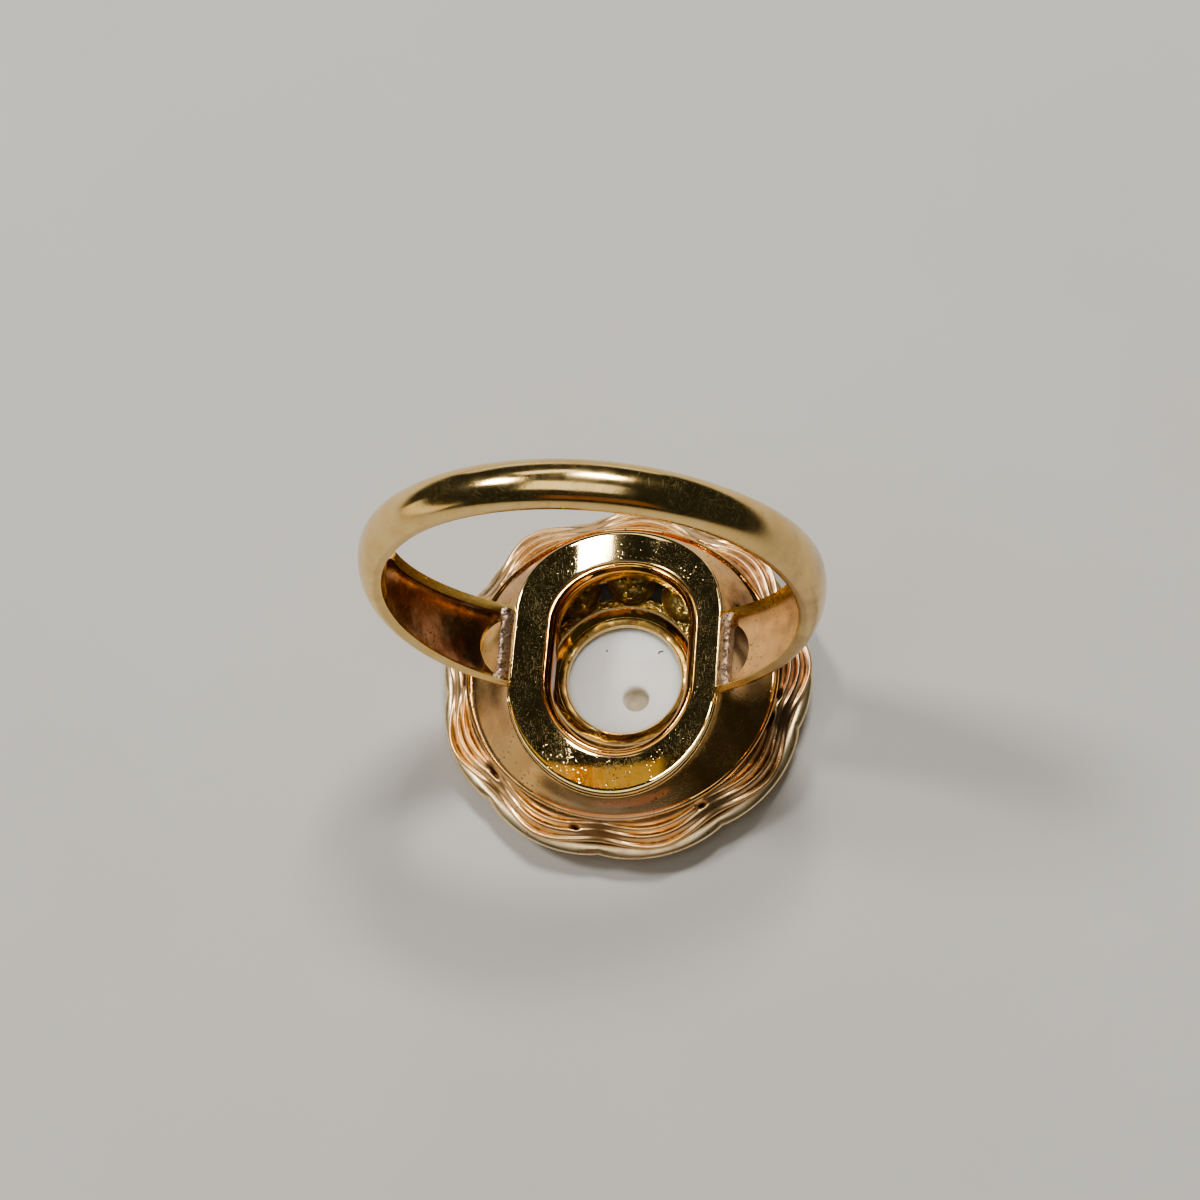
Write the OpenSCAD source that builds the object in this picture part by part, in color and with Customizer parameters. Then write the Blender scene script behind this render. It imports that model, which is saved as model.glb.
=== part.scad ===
// Flower ring, lying face down on its flower with the band upright.
// Millimetres. Z = 0 is the surface that the petals rest on, +Z points to the palm side of
// the band, the finger goes along Y, and the middle of the flower is at X = Y = 0.

/* [Finger hole] */
// Inner diameter of the band
finger_d = 17.3; // [15:0.1:20]
// Height of the head, from the finger side of the base plate to the tips of the petals
head_h = 4.15; // [4:0.05:4.6]

/* [Band] */
// Width of the band at the palm
palm_w = 2.0; // [1.8:0.1:2.6]
// Width of the shoulders where they meet the base plate
shoulder_w = 3.8; // [3.6:0.1:4.4]
// Thickness of the band at its crown
band_t = 1.1; // [1:0.05:1.4]
// Height of the widest line of the band above its finger side
belly_h = 0.3; // [0.2:0.05:0.4]
// Metal left around the hollow of a shoulder
shell_t = 0.3; // [0.25:0.05:0.4]
// Where the hollow of a shoulder starts, in degrees from the middle of the palm
hollow_from = 86; // [75:1:100]

/* [Base plate] */
// Width of the plate across the finger
plate_w = 9.3; // [9:0.1:9.6]
// Length of the plate along the finger
plate_l = 12.8; // [12.4:0.1:13]
// Thickness of the plate
plate_t = 0.45; // [0.4:0.05:0.6]
// Width of the opening in the plate
opening_w = 6.3; // [6.1:0.1:6.5]
// Length of the opening in the plate
opening_l = 8.8; // [8.4:0.1:9]
// Width of the rounded lip around the opening
lip_w = 0.43; // [0.3:0.01:0.5]

/* [Cup] */
// Radius of the rim of the cup
cup_r = 7.1; // [7:0.02:7.14]
// Height of the rim of the cup
cup_rim_z = 2.7; // [2.6:0.05:2.8]
// Thickness of the cup wall
cup_t = 0.35; // [0.3:0.05:0.4]

/* [Petals] */
// Number of petals in each outer layer
petals = 9; // [7:1:11]
// Direction of the first petal, in degrees from +X
petal_turn = 6; // [0:1:39]
// Radius of the ribbed layer at the tip of a petal
back_tip_r = 8.7; // [8.5:0.02:8.8]
// Radius of the ribbed layer in the notch between two petals
back_notch_r = 7.98; // [7.8:0.02:8.1]
// Radius of the smooth layer at the tip of a petal
front_tip_r = 8.56; // [8.4:0.02:8.7]
// Radius of the smooth layer in the notch between two petals
front_notch_r = 8.3; // [8.1:0.02:8.4]

/* [Rosette] */
// Number of small petals in the rosette
small_petals = 11; // [9:1:11]
// Radius of the circle that their middles lie on
rosette_r = 4.9; // [4.85:0.05:4.95]
// Outer radius of a small petal
small_petal_r = 1.18; // [1.14:0.02:1.2]

/* [Stone and its setting] */
// Radius of the stone
stone_r = 3.3; // [3.2:0.05:3.35]
// Radius of the hole in the setting that shows the back of the stone
seat_r = 2.68; // [2.5:0.02:2.72]
// Outer radius of the dished flange on the back
flange_r = 3.45; // [3.4:0.05:3.5]
// Diameter of the drill hole in the back of the stone
drill_d = 1.2; // [0.9:0.05:1.3]

/* [Hidden] */
$fn = 96;

// Clearance between two pieces
gap = 0.04;

finger_r = finger_d / 2;
hoop_z = head_h + finger_r;
crown_r = finger_r + band_t;
// The base plate lies this much further from the finger than the band does. The lip of its
// opening stands this far above it, and reaches down to this distance from the finger.
plate_drop = 0.22;
lip_h = 0.05;
lip_reach = 1.1;
plate_r = finger_r + plate_drop;

// Colours of the metal and the stone
yellow_gold = "#c9a24e";
rose_gold = "#c58a62";
bright_gold = "#e0b23c";
stone_white = "#efece6";

// Band: directions are measured from the middle of the palm. Its ends are upright planes just
// inside the edge of the base plate, a little after the last section that points to the axis.
end_x = plate_w / 2 - 0.05;
last_section = 145;
widen_from = 35;
widen_to = 160;
band_step = 4.5;
arc_n = 10;
// How far a section runs below its belly, in degrees of its arc
under = 14;
// Sleeve: the turned inside of the band
sleeve_t = 0.25;
sleeve_inset = 0.06;
sleeve_step = 10;
// The domed outside starts this far into the sleeve, where it is a little narrower than its foot
dome_from = 0.08;
foot_tuck = 0.045;
// Hollow of a shoulder: degrees until it is at its full depth, its depth below the bore where
// it starts, how far its mouth runs into the bore, and where it ends
hollow_ramp = 12;
hollow_lead = 0.4;
hollow_clear = 1.2;
hollow_steps = 14;
solder_x = 5.1;
// Window at the end of a hollow
window_depth = 0.9;
window_w = 2.9;

function smooth(a, b, x) = let (u = min(1, max(0, (x - a) / (b - a)))) u * u * (3 - 2 * u);
function mix(a, b, u) = a + (b - a) * u;

// A point of the hoop: t degrees from the palm, at radius r and place y along the finger
function hoop_point(t, r, y) = [r * sin(t), y, hoop_z + r * cos(t)];

function band_w(t) = mix(palm_w, shoulder_w, smooth(widen_from, widen_to, abs(t)));
function belly_r(t) = finger_r + belly_h * mix(1, 1.5, smooth(widen_from, widen_to, abs(t)));

// Half the width of the band on its finger side
function foot_y(t) = band_w(t) / 2 * cos(under);

// Section of the band: widest at its belly, domed outward from there and drawn in below it
function dome(w, r_belly, r_crown) =
    [for (i = [0 : arc_n]) let (a = mix(-under, 180 + under, i / arc_n))
        [-w / 2 * cos(a), r_belly + (r_crown - r_belly) * sin(a)]];
function band_section(t) = let (r = finger_r + dome_from, y = foot_y(t) - foot_tuck) concat(
    [[-y, r]], dome(band_w(t), belly_r(t), crown_r), [[y, r]]);

// Hollow of a shoulder: the same dome, one shell thickness further in. It sinks from below the
// sleeve to its full depth.
function hollow_depth(t) = smooth(hollow_from, hollow_from + hollow_ramp, abs(t));
function hollow_w(t) = (band_w(t) - 2 * shell_t) * mix(0.6, 1, hollow_depth(t));
function mouth_y(t) = hollow_w(t) / 2 * cos(under);
function hollow_section(t) =
    let (drop = (1 - hollow_depth(t)) * (band_t - shell_t + hollow_lead), r = finger_r - hollow_clear)
    concat([[-mouth_y(t), r]],
        dome(hollow_w(t), belly_r(t) - drop, crown_r - shell_t - drop), [[mouth_y(t), r]]);

// A closed skin over rings of equal length, capped at both ends
module swept(rings) {
    n = len(rings);
    m = len(rings[0]);
    polyhedron(
        points = [for (ring = rings) each ring],
        faces = concat(
            [[for (j = [m - 1 : -1 : 0]) j]],
            [for (i = [0 : n - 2], j = [0 : m - 1], half = [0, 1])
                let (k = i + 1, l = (j + 1) % m)
                half == 0 ? [i * m + j, k * m + l, k * m + j] : [i * m + j, i * m + l, k * m + l]],
            [[for (j = [0 : m - 1]) (n - 1) * m + j]]));
}

// A closed skin over rings that come back to the first one
module looped(rings) {
    n = len(rings);
    m = len(rings[0]);
    polyhedron(
        points = [for (ring = rings) each ring],
        faces = [for (i = [0 : n - 1], j = [0 : m - 1], half = [0, 1])
            let (k = (i + 1) % n, l = (j + 1) % m)
            half == 0 ? [i * m + j, k * m + j, k * m + l] : [i * m + j, k * m + l, i * m + l]]);
}

// Where a circle of radius r around the finger axis meets the end plane of the band
function end_t(r) = 180 - asin(end_x / r);
function end_ring(side) = [for (q = band_section(end_t(finger_r)))
    hoop_point(side * end_t(q[1]), q[1], q[0])];

module band_blank() {
    steps = ceil(2 * last_section / band_step);
    swept(concat(
        [end_ring(-1)],
        [for (i = [0 : steps]) let (t = mix(-last_section, last_section, i / steps))
            [for (q = band_section(t)) hoop_point(t, q[1], q[0])]],
        [end_ring(1)]));
}

module hollow(side) {
    intersection() {
        // the rings lie closer where the hollow starts
        swept([for (i = [0 : hollow_steps])
            let (t = side * mix(hollow_from, end_t(crown_r), pow(i / hollow_steps, 1.25)))
            [for (q = hollow_section(t)) hoop_point(t, q[1], side * q[0])]]);
        beyond(side, solder_x);
    }
}

// Window at the foot of a shoulder, through which the cup shows
module window(side) {
    r = (pow(window_w / 2, 2) + pow(window_depth, 2)) / (2 * window_depth);
    intersection() {
        translate([side * (solder_x + window_depth - r), 0, 0]) cylinder(r = r, h = hoop_z);
        beyond(side, solder_x);
    }
}

// All that lies further out than x on one side
module beyond(side, x) {
    translate([side * (x + crown_r), 0, hoop_z]) cube(2 * crown_r, center = true);
}

// Prism along X with the band's outline, half_y(t) wide at direction t, from the height top_z
// at the direction `from` down to the direction `to`
module side_view(top_z, from, to, half_y) {
    steps = ceil((to - from) / sleeve_step);
    edge = [for (i = [0 : steps]) let (t = mix(from, to, i / steps))
        [half_y(t), i == 0 ? top_z : hoop_z + finger_r * cos(t)]];
    rotate([90, 0, 90]) linear_extrude(4 * crown_r, center = true)
        polygon(concat(edge, [for (i = [steps : -1 : 0]) [-edge[i][0], edge[i][1]]]));
}

module sleeve() {
    mouth_from = hollow_from + hollow_ramp / 2;
    difference() {
        intersection() {
            finger_tube(finger_r, finger_r + sleeve_t);
            side_view(hoop_z + crown_r, 0, end_t(finger_r), function(t) foot_y(t) - sleeve_inset);
        }
        for (side = [-1, 1]) intersection() {
            side_view(hoop_z + finger_r * cos(mouth_from), mouth_from, end_t(finger_r),
                function(t) mouth_y(t) + sleeve_inset);
            beyond(side, solder_x);
        }
    }
}

module band() {
    difference() {
        band_blank();
        for (side = [-1, 1]) {
            hollow(side);
            window(side);
        }
    }
    sleeve();
}

// Oval with straight sides and round ends
module oval(w, l) {
    for (s = [-1, 1]) translate([0, s * (l - w) / 2]) circle(d = w);
    square([w, l - w], center = true);
}

// Tube around the axis of the finger hole, from radius r1 to radius r2
module finger_tube(r1, r2) {
    translate([0, 0, hoop_z]) rotate([90, 0, 0]) rotate_extrude($fn = 180)
        translate([r1, -plate_l / 2 - 1]) square([r2 - r1, plate_l + 2]);
}

module base_plate() {
    difference() {
        union() {
            intersection() {
                linear_extrude(head_h + 3) oval(plate_w, plate_l);
                finger_tube(plate_r, plate_r + plate_t);
            }
            intersection() {
                linear_extrude(head_h + 3) oval(opening_w + 2 * lip_w, opening_l + 2 * lip_w);
                finger_tube(plate_r - lip_h, finger_r + lip_reach);
            }
        }
        linear_extrude(hoop_z) oval(opening_w, opening_l);
    }
}

// Distance from the middle of the head to the outline of the base plate in direction a
function plate_reach(a) =
    let (r = plate_w / 2, c = (plate_l - plate_w) / 2, s = abs(sin(a)), k = abs(cos(a)))
    r * s <= c * k ? r / k : c * s + sqrt(r * r - c * c * k * k);
function plate_under(x) = hoop_z - sqrt(pow(plate_r + plate_t, 2) - x * x);

// Wave that is 1 at the tip of a petal and 0 in the notch beside it, and its steps a petal
wave_steps = 12;
function petal_wave(a) = 0.5 + 0.5 * cos(petals * (a - petal_turn));

// Ribbed layer: radius at a tip and in a notch, and height, of each ridge from the cup outward
//     [tip_r, notch_r, z]
ridges = [
    [7.28, 7.12, 2.42],
    [7.70, 7.26, 2.26],
    [8.14, 7.56, 2.05],
    [back_tip_r, back_notch_r, 1.80]];
groove = 0.13;
back_edge_t = 0.32;
function ridge_r(i, u) = mix(ridges[i][1], ridges[i][0], u);
function ridge_z(i) = ridges[i][2];

// Cup wall: shares of the way from the plate to the rim where its section has a point, and
// how far it bows outward there
cup_shares = [0.3, 0.6, 0.85];
cup_bow = 0.8;
// The top of the wall lies inside the plate: how far in from its outline, and how far up
plate_overhang = 0.14;
plate_bite = 0.18;
step_r = 0.05;
// Rim of the cup: height of its edge, and depth of the groove below it
rim_h = 0.22;
rim_groove = [0.06, 0.32];
// Back of the ribbed layer, which the eye can't reach: from under the outermost ridge inward
// to its inner edge and back to the cup wall
//     [r, z]
seat = [[6.2, 1.82], [5.75, 1.9], [5.75, 2.15], [6.3, 2.2]];
under_ridge = [0.3, 0.38];

// Section of the cup and the ribbed layer in direction a, as [radius, height] once around
function head_section(a) =
    let (u = petal_wave(a),
         top_r = plate_reach(a) - plate_overhang,
         top_z = plate_under(top_r * cos(a)),
         deep = groove * mix(0.45, 1, u),
         wall = [for (s = cup_shares)
             [mix(top_r, cup_r, s), mix(top_z, cup_rim_z, pow(s, cup_bow))]])
    concat(
        [[top_r - step_r, top_z + plate_bite], [top_r, top_z - step_r]],
        wall,
        [[cup_r, cup_rim_z],
         [cup_r + step_r / 2, cup_rim_z - rim_h],
         [cup_r - rim_groove[0], cup_rim_z - rim_groove[1]]],
        [for (i = [0 : 3]) each concat(
            i == 0 ? [] : [[mix(ridge_r(i - 1, u), ridge_r(i, u), 0.5),
                mix(ridge_z(i - 1), ridge_z(i), 0.5) - deep]],
            [[ridge_r(i, u), ridge_z(i)]])],
        [[ridge_r(3, u) + step_r / 2, ridge_z(3) - back_edge_t / 2],
         [ridge_r(3, u) - step_r, ridge_z(3) - back_edge_t],
         [ridge_r(2, u) - under_ridge[0], ridge_z(2) - under_ridge[1]]],
        seat,
        [[cup_r - cup_t, cup_rim_z - step_r * 2]],
        [for (i = [1, 0]) [wall[i][0] - cup_t, wall[i][1]]],
        [[top_r - cup_t - step_r, top_z + step_r / 2],
         [top_r - cup_t - step_r, top_z + plate_bite]]);

// Turns a section that varies with the direction a once around the middle of the head
module around(section) {
    step = 360 / (petals * wave_steps);
    looped([for (a = [0 : step : 360 - step / 2])
        [for (q = section(a)) [q[0] * cos(a), q[0] * sin(a), q[1]]]]);
}

module cup_and_back_petals() {
    around(function(a) head_section(a));
}

module shank_and_cup() {
    color(yellow_gold) {
        band();
        base_plate();
        cup_and_back_petals();
    }
}

// Smooth layer: its wave is flatter at the tips and sharper in the notches, where a crease
// runs over the petals. The section goes from the inner edge over the back to the rim, and
// around the front, which rests on its lowest points.
inner_r = 5.1;
inner_z = 0.9;
rest_r = 6.8;
front_rim_z = 1.4;
crease_d = 0.3;
function front_section(a) =
    let (u = pow(abs(cos(petals / 2 * (a - petal_turn))), 0.7),
         r = mix(front_notch_r, front_tip_r, u),
         crease = crease_d * (1 - u))
    [[inner_r, inner_z + 0.26], [5.7, 1.12], [6.2, 0.72], [rest_r, 0.44 + crease * 0.8],
     [7.35, 0.54 + crease * 0.8], [7.85, 1.05], [r - 0.03, front_rim_z],
     [r, front_rim_z - 0.26], [r - 0.25, 0.7 + crease * 0.4], [7.4, 0.12 + crease],
     [rest_r, crease], [6.1, 0.3 + crease * 0.7], [5.6, 0.78], [inner_r, inner_z]];

module front_petals() {
    color(rose_gold) around(function(a) front_section(a));
}

// Rosette: small dished petals on a hub that the collet holds
hub_z = 1.42;
hub_t = 0.18;
hub_hole_r = 3.04;
hub_r = 4.05;
rosette_turn = 89.5;
dish_z = 1.25;
dish_h = 0.5;
dish_wall = 0.16;
granule_r = 0.2;
granule_lift = 0.08;
// Granules in a small petal: the middle one and five around it
//     [distance, direction, size]
granules = [
    [0, 0, 1.25],
    [0.6, 20, 1],
    [0.6, 92, 0.9],
    [0.6, 164, 1],
    [0.6, 236, 0.85],
    [0.6, 308, 0.95]];

module small_petal() {
    floor_r = small_petal_r * 0.6;
    rise = 0.07;
    rotate_extrude() polygon([[0, 0], [floor_r, rise], [small_petal_r, dish_h - dish_wall],
        [small_petal_r, dish_h], [small_petal_r - dish_wall, dish_h],
        [floor_r * 0.92, rise + dish_wall], [0, dish_wall]]);
    for (g = granules) rotate(g[1]) translate([g[0], 0, dish_wall + granule_lift])
        sphere(r = granule_r * g[2], $fn = 24);
}

module inner_petals() {
    color(bright_gold) difference() {
        union() {
            translate([0, 0, hub_z]) cylinder(r = hub_r, h = hub_t);
            for (i = [0 : small_petals - 1])
                rotate(rosette_turn + i * 360 / small_petals)
                    translate([rosette_r, 0, dish_z]) small_petal();
        }
        cylinder(r = hub_hole_r, h = head_h);
        // room for the flange of the collet
        translate([0, 0, hub_z + hub_t]) cylinder(r = flange_r + gap, h = head_h);
    }
}

// Collet: one turned piece, from the flange on the back to the bezel on the face
lip_z = 1.62;
seat_z = 1.25;
flange_z = 1.98;
flange_t = 0.14;
neck_r = hub_hole_r - gap;
bezel_t = 0.32;
bezel_r = stone_r + gap + bezel_t;
bezel_z = 0.5;
module collet() {
    color(bright_gold) rotate_extrude() polygon([
        // bore over the back of the stone, and the thin lip around it
        [seat_r, seat_z], [seat_r, lip_z], [seat_r + 0.1, lip_z], [seat_r + 0.16, lip_z - 0.04],
        // dished flange
        [2.95, 1.7], [3.2, 1.83], [flange_r - 0.06, flange_z], [flange_r, flange_z - 0.03],
        [flange_r - 0.02, flange_z - flange_t], [3.15, 1.7],
        // neck in the hole of the hub
        [neck_r, hub_z + hub_t + gap], [neck_r, hub_z - gap],
        // bezel, folded over the edge of the stone
        [bezel_r, hub_z - gap], [bezel_r, bezel_z + 0.22], [stone_r - 0.05, bezel_z],
        [stone_r - 0.13, bezel_z + 0.1], [stone_r + gap, girdle_z + 0.02],
        [stone_r + gap, seat_z]]);
}

// Stone: flat back with the drill hole, domed front
stone_top = seat_z - gap;
girdle_z = 0.84;
dome_z = 0.12;
drill_depth = 0.5;
drill_tip = 0.15;
drill_at = [0.56, -0.83];
module stone() {
    dome_h = girdle_z - dome_z;
    dome_r = (stone_r * stone_r + dome_h * dome_h) / (2 * dome_h);
    color(stone_white) difference() {
        union() {
            translate([0, 0, girdle_z]) cylinder(r = stone_r, h = stone_top - girdle_z);
            intersection() {
                translate([0, 0, dome_z + dome_r]) sphere(r = dome_r, $fn = 180);
                cylinder(r = stone_r, h = girdle_z);
            }
        }
        translate([drill_at[0], drill_at[1], stone_top - drill_depth]) {
            cylinder(d = drill_d, h = head_h);
            translate([0, 0, -drill_tip])
                cylinder(d1 = drill_d / 5, d2 = drill_d, h = drill_tip);
        }
    }
}

shank_and_cup();
front_petals();
inner_petals();
collet();
stone();
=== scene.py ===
"""Looks of the flower ring: denser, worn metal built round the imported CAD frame.

Lengths are in millimetres until a mesh is made, which is in metres as the frame is.
Directions round the band are in degrees from the middle of the palm, and directions round the
head are in degrees from +X.
"""
import math

import bpy
from mathutils import Matrix, Vector, noise


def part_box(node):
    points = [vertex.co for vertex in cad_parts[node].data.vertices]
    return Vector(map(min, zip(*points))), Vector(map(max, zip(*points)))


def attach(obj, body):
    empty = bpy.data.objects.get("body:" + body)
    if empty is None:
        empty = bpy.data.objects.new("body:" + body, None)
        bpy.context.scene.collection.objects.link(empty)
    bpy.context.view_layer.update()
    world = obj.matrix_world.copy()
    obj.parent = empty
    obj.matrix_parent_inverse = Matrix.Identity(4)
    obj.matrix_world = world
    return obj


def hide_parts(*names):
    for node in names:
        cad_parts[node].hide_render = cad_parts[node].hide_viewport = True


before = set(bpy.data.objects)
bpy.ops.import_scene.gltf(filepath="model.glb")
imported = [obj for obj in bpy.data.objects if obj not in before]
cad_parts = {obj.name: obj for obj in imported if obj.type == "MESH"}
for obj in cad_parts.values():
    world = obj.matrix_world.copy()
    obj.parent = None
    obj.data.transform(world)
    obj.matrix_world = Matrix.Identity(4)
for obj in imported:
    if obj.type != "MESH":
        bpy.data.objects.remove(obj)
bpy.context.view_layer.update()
MM = 0.001

# Camera, as fitted to points on the photo
CAMERA_AT = Vector((16.145, -41.835, 107.42)) * MM
CAMERA_AIM = Vector((-1.362, 3.704, 2.0)) * MM
CAMERA_ROLL = -17.98
CAMERA_LENS, SENSOR_W = 75.54, 36
CLIP_START, CLIP_END = 5 * MM, 5000 * MM

camera = bpy.data.objects.new("camera", bpy.data.cameras.new("camera"))
bpy.context.scene.collection.objects.link(camera)
bpy.context.scene.camera = camera
camera.data.lens, camera.data.sensor_width = CAMERA_LENS, SENSOR_W
camera.data.clip_start, camera.data.clip_end = CLIP_START, CLIP_END
camera.matrix_world = (
    Matrix.Translation(CAMERA_AT)
    @ (CAMERA_AIM - CAMERA_AT).to_track_quat("-Z", "Y").to_matrix().to_4x4()
    @ Matrix.Rotation(math.radians(CAMERA_ROLL), 4, "Z")
)

# Driving dimensions of the CAD part
TOP_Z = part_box("shank_and_cup")[1].z / MM
BAND_T = 1.1
FINGER_R = 8.65
CROWN_R = FINGER_R + BAND_T
HOOP_Z = TOP_Z - CROWN_R
PALM_W, SHOULDER_W = 2.0, 3.8
BELLY_H = 0.3
SHELL_T = 0.3
HOLLOW_FROM, HOLLOW_RAMP = 86, 12
SOLDER_X = 5.1
WINDOW_W, WINDOW_DEPTH = 2.9, 0.9
PLATE_W, PLATE_L, PLATE_T = 9.3, 12.8, 0.45
PLATE_DROP = 0.22
PLATE_R = FINGER_R + PLATE_DROP
LIP_W, LIP_H, LIP_REACH = 0.43, 0.05, 1.1
LIP_R = PLATE_R - LIP_H
END_X = PLATE_W / 2 - 0.05
CUP_R, CUP_RIM_Z, CUP_T = 7.1, 2.7, 0.35
PETALS, PETAL_TURN = 9, 6
SMALL_PETALS, SMALL_PETAL_R, ROSETTE_R, ROSETTE_TURN = 11, 1.18, 4.9, 89.5
STONE_R, SEAT_R = 3.3, 2.68
STONE_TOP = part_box("stone")[1].z / MM
DRILL_AT, DRILL_R = Vector((0.56, -0.83)), 0.6

# Fitted to the photo after the CAD part was made, which has other values here: the opening in
# the plate, the bead round the stone and the lean of the rosette's petals
OPENING_W, OPENING_L, OPENING_AT = 6.0, 8.6, Vector((0.15, 0.1))
BEAD_R = 2.58
ROSETTE_LEAN = 13

# Faces that meet at more than this many degrees have a sharp edge between them
CREASE, PETAL_CREASE = 38, 60


# Small helpers
def clamp(x):
    return min(1.0, max(0.0, x))


def smooth(a, b, x):
    u = clamp((x - a) / (b - a))
    return u * u * (3 - 2 * u)


def mix(a, b, u):
    return a + (b - a) * u


def spread(a, b, steps):
    """steps + 1 values from a to b."""
    return [mix(a, b, i / steps) for i in range(steps + 1)]


def full_turn(steps):
    """Directions of a full turn, in degrees."""
    return spread(0, 360, steps)[:-1]


def sin(a):
    return math.sin(math.radians(a))


def cos(a):
    return math.cos(math.radians(a))


def polar(a, r, z, middle=(0, 0)):
    """Point at distance r from middle in direction a."""
    return (middle[0] + r * cos(a), middle[1] + r * sin(a), z)


def softened(points, times=1, closed=True):
    """The same line with its corners cut, so that it runs round."""
    for _ in range(times):
        cut = []
        last = len(points) if closed else len(points) - 1
        for i in range(last):
            p, q = points[i], points[(i + 1) % len(points)]
            cut += [
                tuple(mix(a, b, 0.25) for a, b in zip(p, q)),
                tuple(mix(a, b, 0.75) for a, b in zip(p, q)),
            ]
        points = cut if closed else [points[0], *cut[1:-1], points[-1]]
    return points


def turn_outward(mesh):
    """Flips the faces of a closed mesh if it is inside out."""
    volume = sum(
        Vector(mesh.vertices[f.vertices[0]].co).dot(f.normal) * f.area for f in mesh.polygons
    )
    if volume < 0:
        mesh.flip_normals()


def shade(mesh, crease):
    """Shades a mesh smooth, apart from edges sharper than crease degrees."""
    mesh.shade_smooth()
    mesh.set_sharp_from_angle(angle=math.radians(crease))


def add_to_scene(name, data):
    thing = bpy.data.objects.new(name, data)
    bpy.context.scene.collection.objects.link(thing)
    return thing


class Skin:
    """A mesh that grows out of lofted rings. Its calls take millimetres."""

    def __init__(self):
        self.points, self.faces, self.marks, self.grime_and_shade = [], [], [], []

    def loft(self, rings, joined=False, mark=None, grime_and_shade=None):
        """Skin over rings of equal length. joined: the last ring meets the first, and otherwise
        both have a cap. mark(i, j) gives a face its material, and the last argument gives a point
        its darkening from 0 to 1, mostly painted shade in grooves, gaps and under parts."""
        mark, grime_and_shade = mark or (lambda i, j: 0), grime_and_shade or (lambda i, j: 0.0)
        start, n, m = len(self.points), len(rings), len(rings[0])

        def at(i, j):
            return start + i % n * m + j % m

        for i, ring in enumerate(rings):
            for j, p in enumerate(ring):
                self.points.append(tuple(c * MM for c in p))
                self.grime_and_shade.append(grime_and_shade(i, j))
        for i in range(n if joined else n - 1):
            for j in range(m):
                self.faces.append([at(i, j), at(i, j + 1), at(i + 1, j + 1), at(i + 1, j)])
                self.marks.append(mark(i, j))
        if not joined:
            self.faces.append([at(0, j) for j in reversed(range(m))])
            self.faces.append([at(n - 1, j) for j in range(m)])
            self.marks += [mark(0, 0), mark(n - 1, 0)]

    def turned(self, profile, segments, middle=(0, 0)):
        """Profile of (radius, height, darkening, mark), turned about a vertical axis and closed
        like a ring. The darkening is painted shade."""
        self.loft(
            [[polar(a, r, z, middle) for r, z, _, _ in profile] for a in full_turn(segments)],
            joined=True,
            grime_and_shade=lambda i, j: profile[j][2],
            mark=lambda i, j: profile[j][3],
        )

    def ball(self, x, y, z, r, rows=9):
        self.loft([
            [polar(a, r * sin(b), z - r * cos(b), (x, y)) for a in full_turn(rows * 2)]
            for b in spread(8, 172, rows)
        ])

    def leaned(self, start, turn, hinge_r, hinge_z, lean):
        """Lifts the outer side of the points from start on, about a hinge across direction turn."""
        for i in range(start, len(self.points)):
            x, y, z = (c / MM for c in self.points[i])
            out, side = x * cos(turn) + y * sin(turn) - hinge_r, y * cos(turn) - x * sin(turn)
            up = z - hinge_z
            out, up = hinge_r + out * cos(lean) - up * sin(lean), out * sin(lean) + up * cos(lean)
            x, y = out * cos(turn) - side * sin(turn), out * sin(turn) + side * cos(turn)
            self.points[i] = (x * MM, y * MM, (hinge_z + up) * MM)

    def object(self, name, node, slot, *materials, crease=CREASE):
        mesh = bpy.data.meshes.new(name)
        mesh.from_pydata(self.points, [], self.faces)
        for material in materials:
            mesh.materials.append(material)
        for face, mark in zip(mesh.polygons, self.marks):
            face.material_index = mark
        grime_and_shade = mesh.attributes.new("grime_and_shade", "FLOAT", "POINT")
        for item, value in zip(grime_and_shade.data, self.grime_and_shade):
            item.value = value
        mesh.update()
        turn_outward(mesh)
        shade(mesh, crease)
        thing = add_to_scene(name, mesh)
        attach(thing, "root")
        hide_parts(node)
        return thing


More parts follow.
